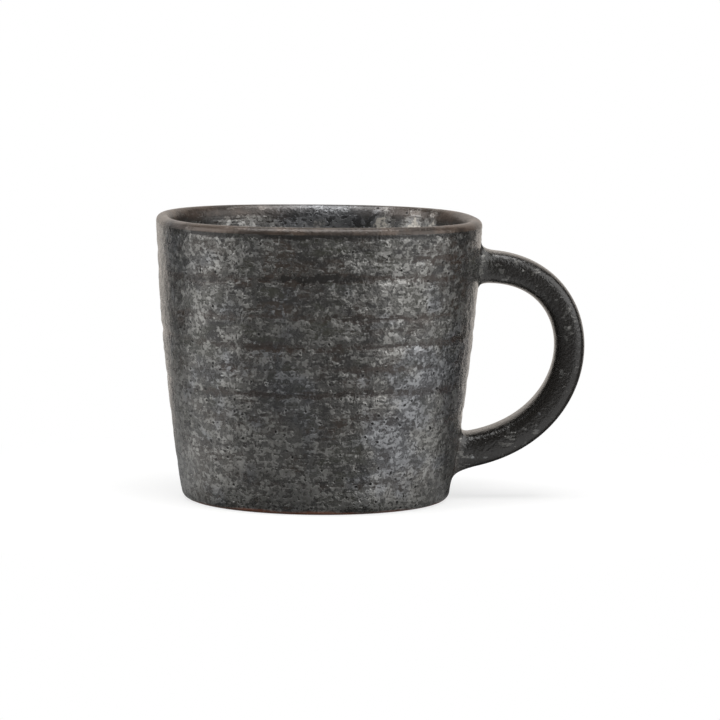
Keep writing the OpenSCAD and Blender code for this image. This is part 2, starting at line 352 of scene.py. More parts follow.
LOWER_ROW = FIRST_WALL_ROW + LOW_ROWS
UPPER_ROW = LOWER_ROW + ROOT_ROWS + MID_ROWS
print("rows:", len(rows), "lower root from row", LOWER_ROW, "upper root from row", UPPER_ROW)

# %% [markdown]
# ## The sheet as points
# Columns run up the wall. The first few columns straddle the handle and keep its width at every
# height, and the rest share out what is left of the circle, so the handle's roots can be let
# into the sheet later without a seam.

# %% Points of the bowl
RIM_WOBBLE = 0.16 * MM
INNER_RING_DEPTH = 0.12 * MM
INNER_RING_SHIFT = 1.5 * MM
LIP_FADE = 6 * MM
FLOOR_FADE = 8 * MM


def column_angles(span):
    """Angle of each column for each row: the root's columns even within its span, then the rest."""
    col = np.arange(COLUMNS)[None, :]
    span = span[:, None]
    in_root = mix(-span, span, col / ROOT_COLS)
    beyond = mix(span, 2 * math.pi - span, (col - ROOT_COLS) / (COLUMNS - ROOT_COLS))
    return np.where(col <= ROOT_COLS, in_root, beyond)


def rim_wobble(angle):
    """The rim dips a little in two places, as a hand-pressed rim does; never above its height."""
    return RIM_WOBBLE * (0.5 * np.sin(angle + 0.6) + 0.3 * np.sin(3 * angle + 2.0) - 0.8)


half, height, kind = rows[:, 0], rows[:, 1], rows[:, 2]
span = np.where(kind <= OUTSIDE, root_angle(height), root_angle(LIP_Z))
angle = column_angles(span)
z_grid = np.repeat(height[:, None], COLUMNS, axis=1)
kind_grid = np.repeat(kind[:, None], COLUMNS, axis=1)
power_grid = outline_power(z_grid)
relief = np.where(kind_grid == OUTSIDE, wall_relief(z_grid, angle), 0)
inner_rings = INNER_RING_DEPTH * ring_groove(z_grid + INNER_RING_SHIFT, angle)
inner_relief = wander(z_grid, angle, INSIDE_SEED, WANDER) - inner_rings
inner_calm = smooth(CUP_H, LIP_Z - LIP_FADE, z_grid) * smooth(0, FLOOR_FADE, half[:, None])
relief = relief + np.where(kind_grid == INSIDE, inner_relief * inner_calm, 0)
radius = outline_radius(half[:, None], power_grid, angle) + relief
z_points = z_grid + rim_wobble(angle) * (z_grid / CUP_H) ** 6
bowl_points = np.stack([radius * np.cos(angle), radius * np.sin(angle), z_points], axis=2)
print("bowl grid:", bowl_points.shape[:2], "deepest ring:", round(-float(relief.min()) / MM, 3), "mm")

# %% [markdown]
# ## The pulled handle
# A strap is pulled from a lump of clay, bent over and pressed to the wall. Its middle line is one
# cubic curve between the roots, and its section is a superellipse, a rectangle with soft sides
# and corners, thinner at the bend. Sweeping a section along a curve is the classic way. Across is
# Y, and outward is the curve's tangent turned a quarter. The potter's hand left a twist of a few
# degrees, which is strongest at the bend and gone at the roots.

# %% Middle line and section of the strap
upper_root = np.array([outer_half(UPPER_ROOT_Z), UPPER_ROOT_Z])
lower_root = np.array([outer_half(LOWER_ROOT_Z), LOWER_ROOT_Z])
middle_reach = HANDLE_REACH - STRAP_T[1] / 2 - STRAP_CROWN
pull_x = (8 * middle_reach - upper_root[0] - lower_root[0]) / 6
control = np.array([
    upper_root,
    (pull_x, upper_root[1] + UPPER_LIFT),
    (pull_x, lower_root[1] + LOWER_LIFT),
    lower_root,
])


def strap_middle(t):
    """Cubic curve: (1-t)^3 p0 + 3(1-t)^2 t p1 + 3(1-t) t^2 p2 + t^3 p3."""
    t = np.asarray(t)[..., None]
    s = 1 - t
    return (
        s**3 * control[0] + 3 * s * s * t * control[1]
        + 3 * s * t * t * control[2] + t**3 * control[3]
    )


def strap_direction(t):
    """The curve's unit tangent, from its quadratic derivative."""
    t = np.asarray(t)[..., None]
    s = 1 - t
    along = s * s * (control[1] - control[0]) + 2 * s * t * (control[2] - control[1])
    along = along + t * t * (control[3] - control[2])
    return along / np.linalg.norm(along, axis=-1, keepdims=True)


def strap_half_t(t):
    """Half the thickness: a parabola through the stated thickness at the roots and the bend."""
    middle = 2 * STRAP_T[1] - (STRAP_T[0] + STRAP_T[2]) / 2
    return ((1 - t) ** 2 * STRAP_T[0] + 2 * (1 - t) * t * middle + t * t * STRAP_T[2]) / 2


def along_side(n):
    """n shares from -1 towards 1 as a sine, which crowds them where the section turns a corner."""
    return np.sin(math.pi * (np.arange(n) / n - 0.5))


def strap_section(t):
    """A rectangle drawn in along its rays to the superellipse |x/a|^n + |y/b|^n = 1.

    The side that faces the cup is rounder (a lower power). Towards the bend the outer side is a
    little fuller, and the whole section is twisted.
    """
    across, out = along_side(ROOT_COLS), along_side(ROOT_ROWS)
    across_end, out_end = np.ones(ROOT_COLS), np.ones(ROOT_ROWS)
    x = np.concatenate([across, out_end, -across, -out_end])
    y = np.concatenate([-across_end, out, across_end, -out])
    power = np.where(y < 0, INNER_POWER, OUTER_POWER)
    drawn_in = (np.abs(x) ** power + np.abs(y) ** power) ** (-1 / power)
    at_bend = math.sin(math.pi * t) ** 3
    half_t = float(strap_half_t(t)) + STRAP_CROWN + np.where(y > 0, BEND_FULLNESS * at_bend, 0)
    x, y = x * drawn_in * STRAP_HALF_W, y * drawn_in * half_t
    sin, cos = math.sin(STRAP_TWIST * at_bend), math.cos(STRAP_TWIST * at_bend)
    return np.stack([x * cos - y * sin, x * sin + y * cos], axis=1)


def strap_ring(t):
    """One ring of the strap at a share t of the middle line, as points in space."""
    middle, along, flat = strap_middle(t), strap_direction(t), strap_section(t)
    x = middle[0] - along[1] * flat[:, 1]
    z = middle[1] + along[0] * flat[:, 1]
    return np.stack([x, flat[:, 0], z], axis=1)


print("strap reaches", round(float(strap_middle(0.5)[0]) / MM, 1), "mm at its middle line")

# %% [markdown]
# ## Roots: where the strap melts into the wall
# A potter smears the strap's end over the wall, so the joint is a soft hollow and not a corner.
# Each point of the wall's opening is joined to a point of the first strap ring by a quadratic
# curve that leaves along the wall and arrives along the strap. The curve's middle control is
# found by following the strap's own direction back to the wall.


# %% Rings of the roots
def wall_x(y, z):
    """Outside face of the wall near the handle: the outline's radius r gives sqrt(r^2 - y^2)."""
    half = outer_half(z)
    radius = outline_radius(half, outline_power(z), np.arctan2(y, half))
    return np.sqrt(radius**2 - y**2)


def back_to_wall(ring, along):
    """Each ring point carried back along the strap's direction until it meets the wall."""
    z = ring[:, 2]
    for _ in range(3):
        back = (ring[:, 0] - wall_x(ring[:, 1], z)) / along[0]
        z = ring[:, 2] - back * along[1]
    return np.stack([ring[:, 0] - back * along[0], ring[:, 1], z], axis=1)


def loop_places(first_row, last_row):
    """Rows and columns round a root's opening, in the order of the strap's section."""
    step = 1 if first_row < last_row else -1
    across = np.arange(ROOT_COLS)
    up = np.arange(ROOT_ROWS)
    row = np.concatenate([
        np.full(ROOT_COLS, first_row), first_row + step * up,
        np.full(ROOT_COLS, last_row), last_row - step * up,
    ])
    col = np.concatenate([
        across, np.full(ROOT_ROWS, ROOT_COLS),
        ROOT_COLS - across, np.zeros(ROOT_ROWS, int),
    ])
    return row, col


def root_rings(places, t, shares):
    """Rings of a root: (1-q)^2 wall + 2(1-q)q corner + q^2 strap for each share q."""
    wall = bowl_points[places]
    ring = strap_ring(t)
    corner = back_to_wall(ring, strap_direction(t))
    q = np.asarray(shares)[:, None, None]
    return (1 - q) ** 2 * wall + 2 * (1 - q) * q * corner + q * q * ring


upper_places = loop_places(UPPER_ROW, UPPER_ROW + ROOT_ROWS)
lower_places = loop_places(LOWER_ROW + ROOT_ROWS, LOWER_ROW)
upper_t = ROOT_LENGTH / (3 * np.linalg.norm(control[1] - control[0]))
lower_t = 1 - ROOT_LENGTH / (3 * np.linalg.norm(control[3] - control[2]))
shares = np.arange(1, BLEND_RINGS) / BLEND_RINGS
strap_t = np.linspace(upper_t, lower_t, STRAP_RINGS + 1)
upper_rings = root_rings(upper_places, upper_t, shares)
strap_rings = np.stack([strap_ring(t) for t in strap_t])
lower_rings = root_rings(lower_places, lower_t, shares[::-1])
handle_points = np.concatenate([upper_rings, strap_rings, lower_rings])
print("handle rings:", len(handle_points), "of", LOOP, "points")

# %% [markdown]
# ## One closed skin
# The sheet's cells and the handle's cells become the faces of one mesh. Cells under the two roots
# are left out, and the handle's first and last rings are the wall's own points, so the skin is
# watertight: a fired cup is one piece of clay. Two small fans close the middle of the underside
# and the middle of the floor.

# %% Faces of the cup
ROWS = len(rows)
BOWL_COUNT = ROWS * COLUMNS
RINGS = len(handle_points)


def bowl_index(row, col):
    """Index of a point of the sheet, where the last column meets the first."""
    return row * COLUMNS + col % COLUMNS


def quads(index):
    """Four-cornered faces between neighbouring rows of an index grid that is closed sideways."""
    right = np.roll(index, -1, axis=1)
    return np.stack([index[:-1], right[:-1], right[1:], index[1:]], axis=2)


bowl_grid = np.arange(BOWL_COUNT).reshape(ROWS, COLUMNS)
bowl_faces = quads(bowl_grid)
keep = np.ones(bowl_faces.shape[:2], bool)
keep[LOWER_ROW:LOWER_ROW + ROOT_ROWS, :ROOT_COLS] = False
keep[UPPER_ROW:UPPER_ROW + ROOT_ROWS, :ROOT_COLS] = False
handle_grid = np.concatenate([
    bowl_index(*upper_places)[None],
    BOWL_COUNT + np.arange(RINGS * LOOP).reshape(RINGS, LOOP),
    bowl_index(*lower_places)[None],
])
handle_faces = quads(handle_grid)
UNDER_POLE = BOWL_COUNT + RINGS * LOOP
FLOOR_POLE = UNDER_POLE + 1
first, last = bowl_grid[0], bowl_grid[-1]
under_fan = np.stack([np.full(COLUMNS, UNDER_POLE), np.roll(first, -1), first], axis=1)
floor_fan = np.stack([np.full(COLUMNS, FLOOR_POLE), last, np.roll(last, -1)], axis=1)
poles = np.array([(0, 0, FOOT_RECESS), (0, 0, FLOOR_Z)])
points = np.concatenate([bowl_points.reshape(-1, 3), handle_points.reshape(-1, 3), poles])
quad_faces = np.concatenate([bowl_faces[keep], handle_faces.reshape(-1, 4)])
fan_faces = np.concatenate([under_fan, floor_fan])
print("triangles:", 2 * len(quad_faces) + len(fan_faces))

# %% [markdown]
# ## Marks for the glaze
# Glaze does not sit evenly. It is thick and dark in hollows, thin and brown on the lip, wiped off
# the foot, and calmer on the handle. Each of those is a number between 0 and 1 at every point,
# kept in the mesh as an attribute that the material can read. Only the crust's number also goes
# below 0, where the crust stays away. The lists below say where it gathers and where it is cool.


# %% Attributes of the surface
def on_points(bowl_values, handle_values=np.zeros((RINGS, LOOP))):
    """One value per point: the sheet's, the handle's (or 0 there), and 0 at the two poles."""
    return np.concatenate([bowl_values.ravel(), handle_values.ravel(), np.zeros(2)])


RING_STRAY = 0.6 * MM
BARE_H = 0.55 * MM
BARE_SOFT = 0.15 * MM
# How much less crust a place holds than the open wall does.
RING_CALM, NECK_SHADE_CALM, LIP_CALM, INSIDE_CALM, STRAP_CALM, BEND_CALM = 0.3, 0.3, 0.31, 0.12, 0.3, 0.1

ring_line = z_grid + RING_STRAY * pebbles(z_grid, angle, STRAY_SEED)
ring_mark = smooth(0.24, 0.76, ring_groove(ring_line, angle)) * (kind_grid == OUTSIDE)
# Crust is kept off the band just under the lip: partly bare glaze there, partly painted shade for the
# dark band under the lip.
neck_shade_mark = smooth(BEAD_Z - 0.3 * MM, BEAD_Z + 0.9 * MM, z_grid) * (kind_grid == OUTSIDE)
lip_inside = smooth(CUP_H - 2.7 * MM, CUP_H - 1.8 * MM, z_grid)
lip_mark = np.where(kind_grid == INSIDE, lip_inside, 1.0 * (kind_grid == LIP))
glaze_edge = BARE_H + 0.2 * MM * np.sin(3 * angle + 1) + 0.12 * MM * np.sin(11 * angle)
bare_mark = 1 - smooth(glaze_edge - BARE_SOFT, glaze_edge + BARE_SOFT, z_grid)
bare_mark = np.where(kind_grid <= OUTSIDE, bare_mark, 0)
# Angle and half-width in degrees, height and half-height in mm, strength.
OUTSIDE_BANKS = [
    (-56, 14, 26, 40, 0.1),
    (-68, 9, 48, 6, 0.08),
    (-41, 7, 25, 14, 0.14),
    (-24, 8, 47, 12, -0.14),
    (-159, 11, 17, 15, 0.14),
    (-122, 16, 20, 26, 0.03),
    (-118, 11, 51, 6, 0.12),
    (-96, 14, 50, 8, -0.18),
    (-119, 13, 9, 8, 0.14),
    (-94, 180, 3, 5, 0.12),
    (60, 40, 20, 25, 0.05),
    (150, 30, 30, 20, 0.04),
]
INSIDE_BANKS = [
    (61.5, 3, 52.5, 4.5, 1.0),
    (47.5, 3.6, 53.5, 4.5, 0.85),
    (38, 2.4, 53.5, 4, 0.75),
    (55, 2.5, 54, 6, -0.25),
    (52, 13, 54, 6, 0.12),
    (112, 9, 54, 6, 0.14),
    (86, 15, 54, 8, 0.42),
    (-90, 90, 25, 14, 0.05),
    (-172, 24, 57, 3, 0.24),
]
COOL_AND_RIM_SHEEN_PLACES = [
    (-48, 12, 27, 6, 1.0),
    (-62, 12, 15, 8, 1.0),
    (-106, 12, 24, 8, 0.6),
    (-19, 16, 28, 12, 0.8),
    (-154, 12, 52, 7, 0.8),
    # This place also turns the lip film grey silver along the far rim: a painted highlight there,
    # brighter and greyer than the brown lip.
    (82, 24, 56, 9, 1.0),
    (150, 25, 35, 14, 0.8),
]


def crust_mark(z, angle, banks):
    """Sum of bells over angle and height: where the crust gathers and where it stays away."""
    total = np.zeros(np.broadcast(z, angle).shape)
    for at, half_angle, middle, half_height, strength in banks:
        off = np.remainder(angle - math.radians(at) + math.pi, 2 * math.pi) - math.pi
        around = bell(off / math.radians(half_angle))
        total += strength * around * bell((z / MM - middle) / half_height)
    return total


crust_outside = crust_mark(z_grid, angle, OUTSIDE_BANKS) - RING_CALM * ring_mark
crust_inside = crust_mark(z_grid, angle, INSIDE_BANKS) - INSIDE_CALM
crust = np.where(kind_grid >= LIP, crust_inside, crust_outside)
crust = crust - LIP_CALM * lip_mark - NECK_SHADE_CALM * neck_shade_mark
strap_share = np.linspace(0, 1, RINGS)[:, None] * np.ones(LOOP)
strap_calm = -STRAP_CALM - BEND_CALM * bell((strap_share - 0.6) / 0.35)
strap_calm[:BLEND_RINGS - 1] *= shares[:, None] ** 0.5
strap_calm[-(BLEND_RINGS - 1):] *= shares[::-1, None] ** 0.5
cool_and_rim_sheen_mark = np.clip(crust_mark(z_grid, angle, COOL_AND_RIM_SHEEN_PLACES), 0, 1)
marks = {
    "ring": on_points(ring_mark),
    "lip": on_points(lip_mark),
    "bare": on_points(bare_mark),
    "crust": on_points(crust, strap_calm),
    "cool": on_points(cool_and_rim_sheen_mark),
    "inside": on_points(1.0 * (kind_grid == INSIDE)),
}
print("marks:", ", ".join(marks))


# %% Make the mesh
def keep_mark(mesh, name, values):
    """Keeps one number per point in the mesh, under a name that a material can read."""
    mesh.attributes.new(name, "FLOAT", "POINT").data.foreach_set("value", values.ravel())


def make_mesh(name, points, quad_faces, fan_faces, marks):
    """A smooth mesh from arrays of points and faces, with one float attribute per mark."""
    mesh = bpy.data.meshes.new(name)
    corners = np.concatenate([quad_faces.ravel(), fan_faces.ravel()])
    sizes = np.concatenate([np.full(len(quad_faces), 4), np.full(len(fan_faces), 3)])
    mesh.vertices.add(len(points))
    mesh.vertices.foreach_set("co", points.ravel())
    mesh.loops.add(len(corners))
    mesh.loops.foreach_set("vertex_index", corners)
    mesh.polygons.add(len(sizes))
    mesh.polygons.foreach_set("loop_start", np.concatenate([[0], np.cumsum(sizes)[:-1]]))
    mesh.polygons.foreach_set("use_smooth", np.ones(len(sizes), bool))
    mesh.update(calc_edges=True)
    for mark, values in marks.items():
        keep_mark(mesh, mark, values)
    problem = mesh.validate()
    piece = bpy.data.objects.new(name, mesh)
    bpy.context.collection.objects.link(piece)
    print(name, "has", len(mesh.polygons), "faces; mended by Blender:", problem)
    return piece


glazed_cup = make_mesh("glazed_cup", points, quad_faces, fan_faces, marks)

# %% [markdown]
# ## Reduction-fired stoneware glaze
# An iron-rich glaze fired short of air comes out charcoal to brown-black, and on cooling grows
# grey micro-crystals. To the eye that is dark satin glass under a lacy crust of dull silver. The
# crust has ragged edges, round bites a millimetre or two wide, and a grain as fine as salt, and
# it shines more broadly than the glass, which is why it fades in the darker corners of the cup.
# So it is made partly metallic and rougher, and the glass is almost black and glossy.


# %% Helpers for colours and nodes
def srgb(code):
    """A colour written as six hex digits, turned from sRGB to linear."""
    values = np.array([int(code[i:i + 2], 16) / 255 for i in (0, 2, 4)])
    linear = np.where(values <= 0.04045, values / 12.92, ((values + 0.055) / 1.055) ** 2.4)
    return (*linear, 1.0)


def add(tree, kind, inputs=None, **settings):
    """Adds a node, sets its own options, then fills sockets with values or other nodes' outputs."""
    node = tree.nodes.new(kind)
    for name, value in settings.items():
        setattr(node, name, value)
    for key, value in (inputs or {}).items():
        if isinstance(value, bpy.types.NodeSocket):
            tree.links.new(value, node.inputs[key])
        else:
            node.inputs[key].default_value = value
    return node


def new_material(name):
    """An empty node material and its output node."""
    material = bpy.data.materials.new(name)
    material.use_nodes = True
    material.node_tree.nodes.clear()
    return material, add(material.node_tree, "ShaderNodeOutputMaterial")


# %% Small node recipes used by the glaze
def per_metre(size_mm):
    """Scale of a texture whose features are size_mm apart."""
    return 1 / (size_mm * MM)


def math_node(tree, operation, a, b=0.0, c=0.0, clamp=False):
    """One arithmetic step between values or outputs."""
    inputs = {0: a, 1: b, 2: c}
    return add(tree, "ShaderNodeMath", inputs, operation=operation, use_clamp=clamp).outputs[0]


def times(tree, a, b):
    """One value times another."""
    return math_node(tree, "MULTIPLY", a, b)


def ramp(tree, value, start, end, low_value=0.0, high_value=1.0):
    """A smooth step from low_value at start to high_value at end."""
    inputs = {0: value, 1: start, 2: end, 3: low_value, 4: high_value}
    return add(tree, "ShaderNodeMapRange", inputs, interpolation_type="SMOOTHSTEP").outputs[0]


def blend_colour(tree, factor, a, b):
    """A mix of two colours by a factor."""
    return add(tree, "ShaderNodeMix", {0: factor, 6: a, 7: b}, data_type="RGBA").outputs[2]


def noise(tree, where, size_mm, detail=2.0):
    """Fractal noise with features about size_mm wide, from about -0.3 to 0.3."""
    inputs = {"Vector": where, "Scale": per_metre(size_mm), "Detail": detail}
    value = add(tree, "ShaderNodeTexNoise", inputs).outputs[0]
    return math_node(tree, "SUBTRACT", value, 0.5)


def cells(tree, where, size_mm):
    """Distance to the nearest of random points size_mm apart, and that point's random number."""
    cell = add(tree, "ShaderNodeTexVoronoi", {"Vector": where, "Scale": per_metre(size_mm)})
    lot = add(tree, "ShaderNodeSeparateColor", {0: cell.outputs["Color"]}).outputs[0]
    return cell.outputs["Distance"], lot


def foam(tree, where, size_mm, width):
    """1 on the walls between cells size_mm apart, falling to 0 at a width inside them."""
    inputs = {"Vector": where, "Scale": per_metre(size_mm)}
    cell = add(tree, "ShaderNodeTexVoronoi", inputs, feature="DISTANCE_TO_EDGE")
    return ramp(tree, cell.outputs["Distance"], 0.0, width, 1.0, 0.0)


def laid(tree, where, across=1.0, up=1.0, shift_mm=0.0):
    """Coordinates scaled across and up the cup, and moved so that a noise starts elsewhere."""
    inputs = {"Vector": where, "Location": (shift_mm * MM,) * 3, "Scale": (across, across, up)}
    return add(tree, "ShaderNodeMapping", inputs).outputs[0]


def bent_by(tree, where, size_mm, amount_mm):
    """Coordinates pushed about by a noise, which makes straight edges wander."""
    inputs = {"Vector": where, "Scale": per_metre(size_mm), "Detail": 2.0}
    push = add(tree, "ShaderNodeTexNoise", inputs).outputs["Color"]
    inputs = {0: push, 1: (0.5, 0.5, 0.5)}
    push = add(tree, "ShaderNodeVectorMath", inputs, operation="SUBTRACT").outputs[0]
    inputs = {0: push, 1: (amount_mm * MM,) * 3, 2: where}
    return add(tree, "ShaderNodeVectorMath", inputs, operation="MULTIPLY_ADD").outputs[0]


# %% [markdown]
# The crust has two coats. A thin grey film spreads in patches of a few millimetres, and pale
# crystals stand on it in rounded clusters. Each coat is a sum of noises cut off at a level, and
# the crust mark pushes both levels up and down. Where it is strongest, inside the rim, a chalky
# bloom with ragged edges lies on top. Gas that boiled through the glaze left small pinholes of
# different depth that hardly gleam; their near-black colour is painted shade inside them, and
# their pale rim is pale crust that is partly a painted highlight on the edge. The same coats
# then steer colour, gloss and relief together, which is why they read as one material.

# %% Mix the glaze
DARK_GLAZE = srgb("242322")   # iron glass: charcoal depth between the patches of crust
GREEN_GLAZE = srgb("2b2b26")  # the same glass where it lay thick: an olive cast
BROWN_GLAZE = srgb("2b2622")  # the same glass where it lay thin: the clay's warmth
RING_BROWN = srgb("332822")   # iron showing in the finger rings: brown lines
CALM_GLAZE = srgb("191715")   # clean glass on the handle: nearly black, and seen by its gloss
COOL_GLAZE = srgb("222327")   # glass in the cool places: a hint of blue
COOL_CRUST = srgb("8e8f91")   # fine iron crystals: bluish dull silver
WARM_CRUST = srgb("949390")   # the same crystals, coarser: grey silver
PALE_BLOOM = srgb("b8b3aa")   # chalky crystals: pale matt spots inside the rim
LIP_FILM = srgb("736154")     # glaze that ran thin over the lip: a satin brown edge
BARE_CLAY = srgb("5e3522")    # fired iron clay: a matt orange-brown line under the cup
PINHOLE_SHADE = srgb("0f0e0d")          # painted shade inside burst bubbles: near-black pricks that hardly gleam
CRUST_METAL = 0.88
LIP_METAL = 0.3
GLASS_IOR = 1.5
PIT_MM, PIT_SHARE = 1.4, 0.55


def weighted(tree, start, *terms):
    """start plus the sum of value times weight over the (value, weight) pairs."""
    total = start
    for value, weight in terms:
        total = math_node(tree, "MULTIPLY_ADD", value, weight, total)
    return total


def dots(tree, where, size_mm, share, inner, outer):
    """Round dots in that share of random cells size_mm apart: 1 to the inner radius, 0 outside."""
    distance, lot = cells(tree, where, size_mm)
    chosen = ramp(tree, lot, share + 0.01, share - 0.01)
    return times(tree, ramp(tree, distance, outer, inner), chosen)


def crust_coats(tree, place, mark):
    """The grey film, the pale crystals and the thick bloom, each from 0 to 1."""
    bent = bent_by(tree, place, 1.5, 0.8)
    banks = noise(tree, laid(tree, place, 1, 1.6), 6.5, 2)
    streaks = noise(tree, laid(tree, place, 0.65, 5), 2.6, 2)
    lobes = cells(tree, bent, 1.4)[0]
    walls = foam(tree, laid(tree, bent, shift_mm=7), 2.4, 0.22)
    bites = dots(tree, laid(tree, bent, shift_mm=3), 1.7, 0.5, 0.22, 0.28)
    film = weighted(
        tree, mark, (banks, 1.0), (noise(tree, bent, 1.9, 1), 0.85), (streaks, 0.85),
        (noise(tree, laid(tree, bent, shift_mm=5), 0.8, 1), 0.7), (walls, 0.16), (bites, -0.12),
    )
    crystals = weighted(
        tree, mark, (banks, 0.65), (noise(tree, laid(tree, bent, 1, 1.3, 13), 1.5, 1), 1.2),
        (noise(tree, laid(tree, bent, shift_mm=17), 0.7, 1), 0.5),
        (lobes, -0.5), (streaks, 0.65), (walls, 0.12), (bites, -0.3),
    )
    ragged = weighted(tree, crystals, (noise(tree, place, 0.9, 2), 0.8))
    bloom = times(tree, ramp(tree, ragged, 0.2, 0.3), ramp(tree, mark, 0.2, 0.4))
    return ramp(tree, film, -0.05, -0.02), ramp(tree, crystals, -0.13, -0.1), bloom


def stoneware_glaze():
    """Dark satin glass with a lacy silver crust; bare iron clay where the mark says so."""
    material, output = new_material("reduction_fired_stoneware_glaze")
    tree = material.node_tree
    mark = {
        name: add(tree, "ShaderNodeAttribute", attribute_name=name).outputs["Fac"]
        for name in ("ring", "lip", "bare", "crust", "cool", "inside")
    }
    place = add(tree, "ShaderNodeTexCoord").outputs["Object"]
    film, crystals, bloom = crust_coats(tree, place, mark["crust"])
    pricked = bent_by(tree, place, 0.6, 0.5)
    open_glaze = ramp(tree, mark["crust"], -0.35, -0.1)
    rough_glaze = weighted(tree, open_glaze, (mark["inside"], -0.6))
    pit_depth = noise(tree, laid(tree, place, shift_mm=29), 2.2, 1)
    pit_depth = ramp(tree, pit_depth, -0.12, 0.12, 0.3, 1.0)
    # hole paints the shade inside each pinhole (dark colour, less crust, less gleam) and dents the
    # relief.
    hole = times(tree, dots(tree, pricked, PIT_MM, PIT_SHARE, 0.1, 0.27), rough_glaze)
    hole = times(tree, hole, pit_depth)
    # rim is a ring of pale crust round each pinhole, partly a painted highlight on the pit's edge.
    rim = times(tree, dots(tree, pricked, PIT_MM, PIT_SHARE, 0.26, 0.4), rough_glaze)
    rim = math_node(tree, "SUBTRACT", rim, hole)
    crumbs = dots(tree, laid(tree, pricked, shift_mm=9), 0.85, 0.4, 0.2, 0.34)
    crumbs = times(tree, crumbs, rough_glaze)
    grain = noise(tree, place, 0.5, 1.0)
    cover = noise(tree, laid(tree, place, shift_mm=21), 4.0, 2.0)
    bloom = times(tree, bloom, ramp(tree, grain, -0.14, 0.02, 0.35, 1.0))
    crust = weighted(
        tree, 0.0, (film, 0.34), (crystals, 0.44), (bloom, 0.2), (rim, 0.1), (crumbs, 0.14),
    )
    crust = times(tree, crust, ramp(tree, cover, -0.15, 0.15, 0.76, 1.2))
    pores = times(tree, ramp(tree, grain, -0.07, -0.12), rough_glaze)
    crust = weighted(tree, crust, (times(tree, crust, pores), -0.65))
    flecks = times(tree, ramp(tree, grain, 0.1, 0.16), rough_glaze)
    crust = weighted(tree, crust, (flecks, 0.16))
    crust = weighted(tree, crust, (times(tree, crust, hole), -0.9))

    stain = noise(tree, laid(tree, place, 1, 2), 9, 3.0)
    base = blend_colour(tree, ramp(tree, stain, -0.12, 0.0), BROWN_GLAZE, DARK_GLAZE)
    base = blend_colour(tree, ramp(tree, stain, 0.02, 0.12), base, GREEN_GLAZE)
    base = blend_colour(tree, times(tree, mark["ring"], 0.75), base, RING_BROWN)
    base = blend_colour(tree, times(tree, mark["cool"], 0.7), base, COOL_GLAZE)
    base = blend_colour(tree, open_glaze, CALM_GLAZE, base)
    tint = weighted(tree, noise(tree, place, 6, 2.0), (mark["cool"], -0.35))
    tint = ramp(tree, tint, -0.25, 0.0)
    colour = blend_colour(tree, crust, base, blend_colour(tree, tint, COOL_CRUST, WARM_CRUST))
    colour = blend_colour(tree, bloom, colour, PALE_BLOOM)
    # Where the cool mark reaches the far rim, the grey silver film is partly a painted highlight.
    lip_film = blend_colour(tree, mark["cool"], LIP_FILM, COOL_CRUST)
    film_share = times(tree, mark["lip"], ramp(tree, cover, -0.12, 0.12, 0.12, 0.32))
    colour = blend_colour(tree, film_share, colour, lip_film)
    colour = blend_colour(tree, hole, colour, PINHOLE_SHADE)
    colour = blend_colour(tree, mark["bare"], colour, BARE_CLAY)

    metal = ramp(tree, crust, 0.0, 0.3, 0.0, CRUST_METAL)
    metal = math_node(tree, "MAXIMUM", metal, times(tree, mark["lip"], LIP_METAL))
    matt = weighted(tree, mark["bare"], (bloom, 0.5))
    metal = times(tree, metal, math_node(tree, "SUBTRACT", 1.0, matt, clamp=True))
    calm = math_node(tree, "SUBTRACT", 1.0, open_glaze)
    rough = ramp(tree, crust, 0.0, 0.6, 0.2, 0.34)
    rough = weighted(tree, rough, (calm, 0.07))
    rough = weighted(tree, rough, (mark["lip"], 0.08))
    rough = math_node(tree, "MULTIPLY_ADD", mark["bare"], 0.4, rough, clamp=True)

    relief = weighted(
        tree, 0.0, (noise(tree, place, 1.7, 2.0), 0.15), (film, 0.03), (crystals, 0.04),
        (rim, 0.02), (hole, -0.15), (crumbs, 0.03),
    )
    quiet = weighted(tree, 1.0, (mark["inside"], -0.6), (calm, -0.5))
    grain_height = weighted(tree, 0.08, (mark["inside"], -0.05), (calm, 0.02))
    relief = times(tree, relief, quiet)
    relief = math_node(tree, "MULTIPLY_ADD", grain, grain_height, relief)
    bump = add(tree, "ShaderNodeBump", {"Strength": 1.0, "Distance": MM, "Height": relief})
    gleam = weighted(tree, 0.5, (hole, -0.2))
    shader = add(tree, "ShaderNodeBsdfPrincipled", {
        "Base Color": colour, "Metallic": metal, "Roughness": rough, "IOR": GLASS_IOR,
        "Specular IOR Level": gleam, "Normal": bump.outputs[0],
    })
    tree.links.new(shader.outputs[0], output.inputs[0])
    return material


glazed_cup.data.materials.append(stoneware_glaze())
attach(glazed_cup, "root")
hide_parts("cup")
print("glaze nodes:", len(glazed_cup.data.materials[0].node_tree.nodes))

# %% [markdown]
# ## Camera
# The photograph was taken from well back, a little above the rim and a little to the left of
# square on, with a long lens. The distance, the two angles and the lens below place the rim, the
# wall and the foot where the photograph has them, to a fraction of a pixel.

# %% Place the camera
VIEW_DISTANCE = 824.6 * MM
VIEW_ELEVATION = math.radians(6.215)
VIEW_AZIMUTH = math.radians(-4.388)
VIEW_ROLL = math.radians(0.661)
AIM_RIGHT = 8.74 * MM
AIM_UP = 27.93 * MM
LENS_PX = 4043.93
PHOTO_PX = 720
SENSOR_MM = 36

back = Vector((
    math.sin(VIEW_AZIMUTH) * math.cos(VIEW_ELEVATION),
    -math.cos(VIEW_AZIMUTH) * math.cos(VIEW_ELEVATION),
    math.sin(VIEW_ELEVATION),
))
right = Vector((math.cos(VIEW_AZIMUTH), math.sin(VIEW_AZIMUTH), 0))
up = back.cross(right)
turned_right = right * math.cos(VIEW_ROLL) + up * math.sin(VIEW_ROLL)
turned_up = up * math.cos(VIEW_ROLL) - right * math.sin(VIEW_ROLL)
aim = right * AIM_RIGHT + up * AIM_UP

